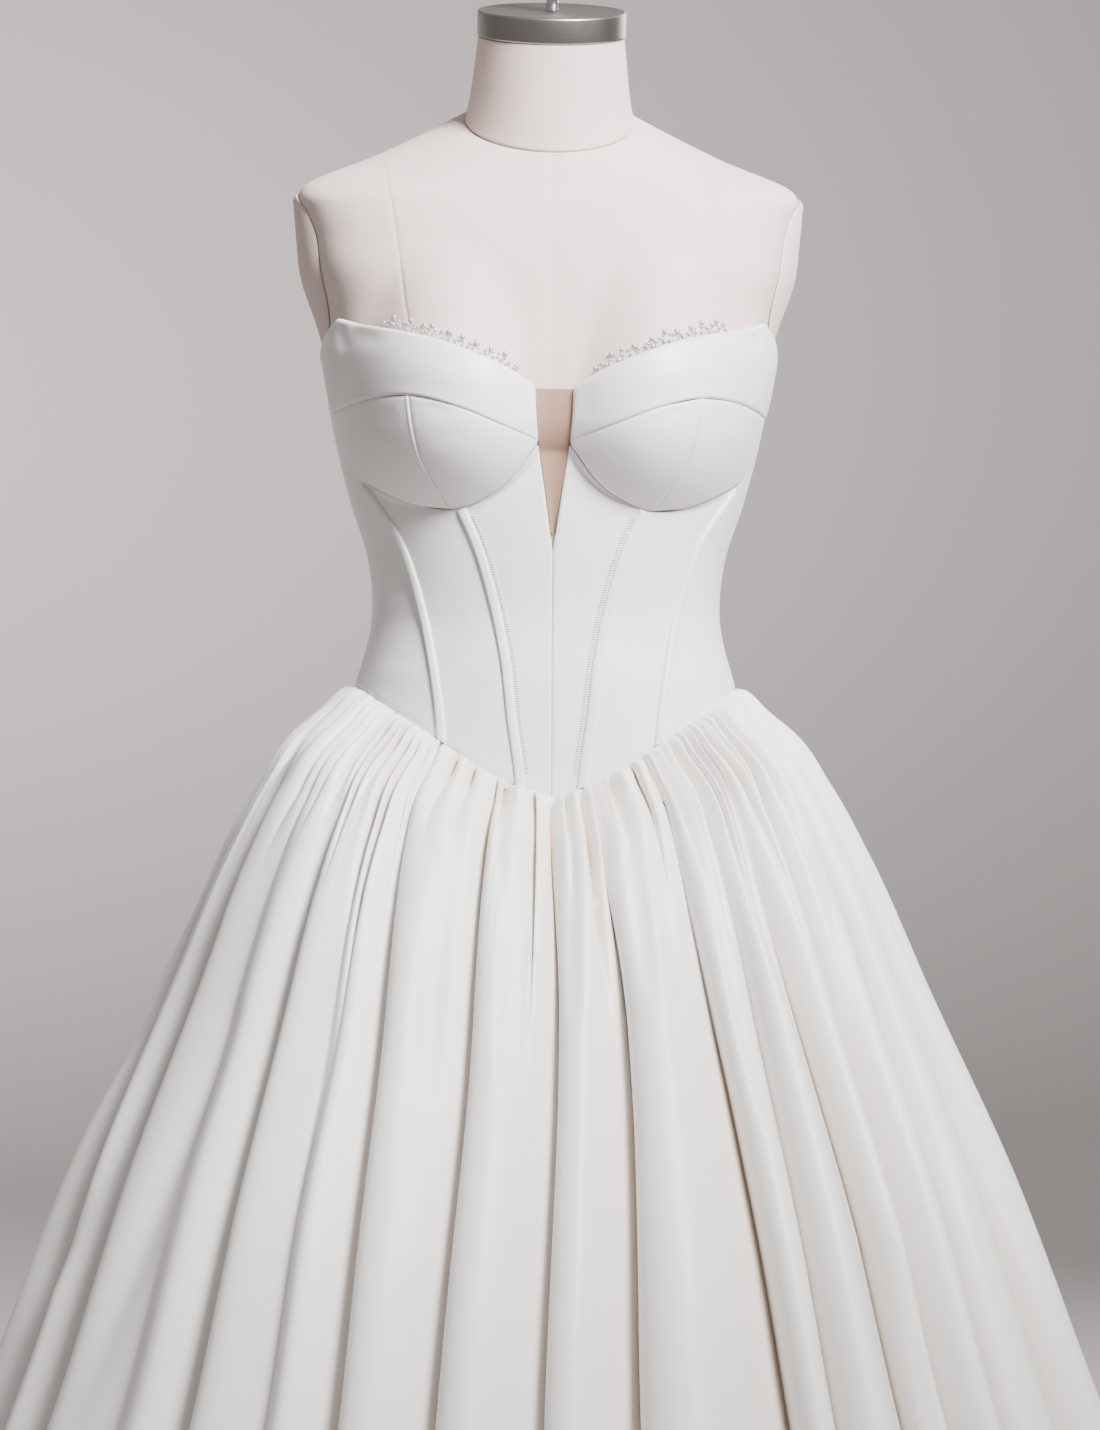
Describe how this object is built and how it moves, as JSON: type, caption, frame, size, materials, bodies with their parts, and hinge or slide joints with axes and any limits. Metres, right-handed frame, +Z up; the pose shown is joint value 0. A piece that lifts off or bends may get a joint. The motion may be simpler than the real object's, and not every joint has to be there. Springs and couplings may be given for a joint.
{
  "type": "wedding dress on dress form",
  "caption": "Strapless ivory satin wedding dress with a boned, cupped bodice, plunge insert and full gathered skirt, worn on a limbless dress form on a pole stand.",
  "frame": {"origin": "on the floor at the middle of the base, on the axis of the pole", "axes": "+Z up along the pole, the front of the dress faces -Y, +X to the right as seen from the front"},
  "size_m": [1.1739, 1.12, 1.5418],
  "materials": {
    "ivory_satin": "soft satin sheen",
    "nude_mesh": "fine sheer mesh",
    "pearl_net": "net with pearls and glass beads",
    "form_linen": "matt linen cover",
    "brushed_cap": "brushed",
    "chrome_rod": "polished",
    "stand_paint": "satin paint"
  },
  "bodies": {
    "root": {"form_torso": "form_linen", "form_neck": "form_linen", "arm_plate_left": "form_linen", "arm_plate_right": "form_linen", "neck_cap": "brushed_cap", "cap_stud": "chrome_rod", "cap_rod": "chrome_rod", "stand_pole": "stand_paint", "stand_base": "stand_paint", "centre_front_panel_left": "ivory_satin", "centre_front_panel_right": "ivory_satin", "front_side_panel_left": "ivory_satin", "front_side_panel_right": "ivory_satin", "side_panel_left": "ivory_satin", "side_panel_right": "ivory_satin", "back_panel_left": "ivory_satin", "back_panel_right": "ivory_satin", "back_placket": "ivory_satin", "inner_cup_left": "ivory_satin", "inner_cup_right": "ivory_satin", "outer_cup_left": "ivory_satin", "outer_cup_right": "ivory_satin", "band_left": "ivory_satin", "band_right": "ivory_satin", "inner_channel_left": "ivory_satin", "inner_channel_right": "ivory_satin", "outer_channel_left": "ivory_satin", "outer_channel_right": "ivory_satin", "pearl_strip_left": "pearl_net", "pearl_strip_right": "pearl_net", "plunge_mesh": "nude_mesh", "skirt_front": "ivory_satin", "skirt_front_side_left": "ivory_satin", "skirt_front_side_right": "ivory_satin", "skirt_back_side_left": "ivory_satin", "skirt_back_side_right": "ivory_satin", "skirt_back_left": "ivory_satin", "skirt_back_right": "ivory_satin"}
  },
  "joints": []
}
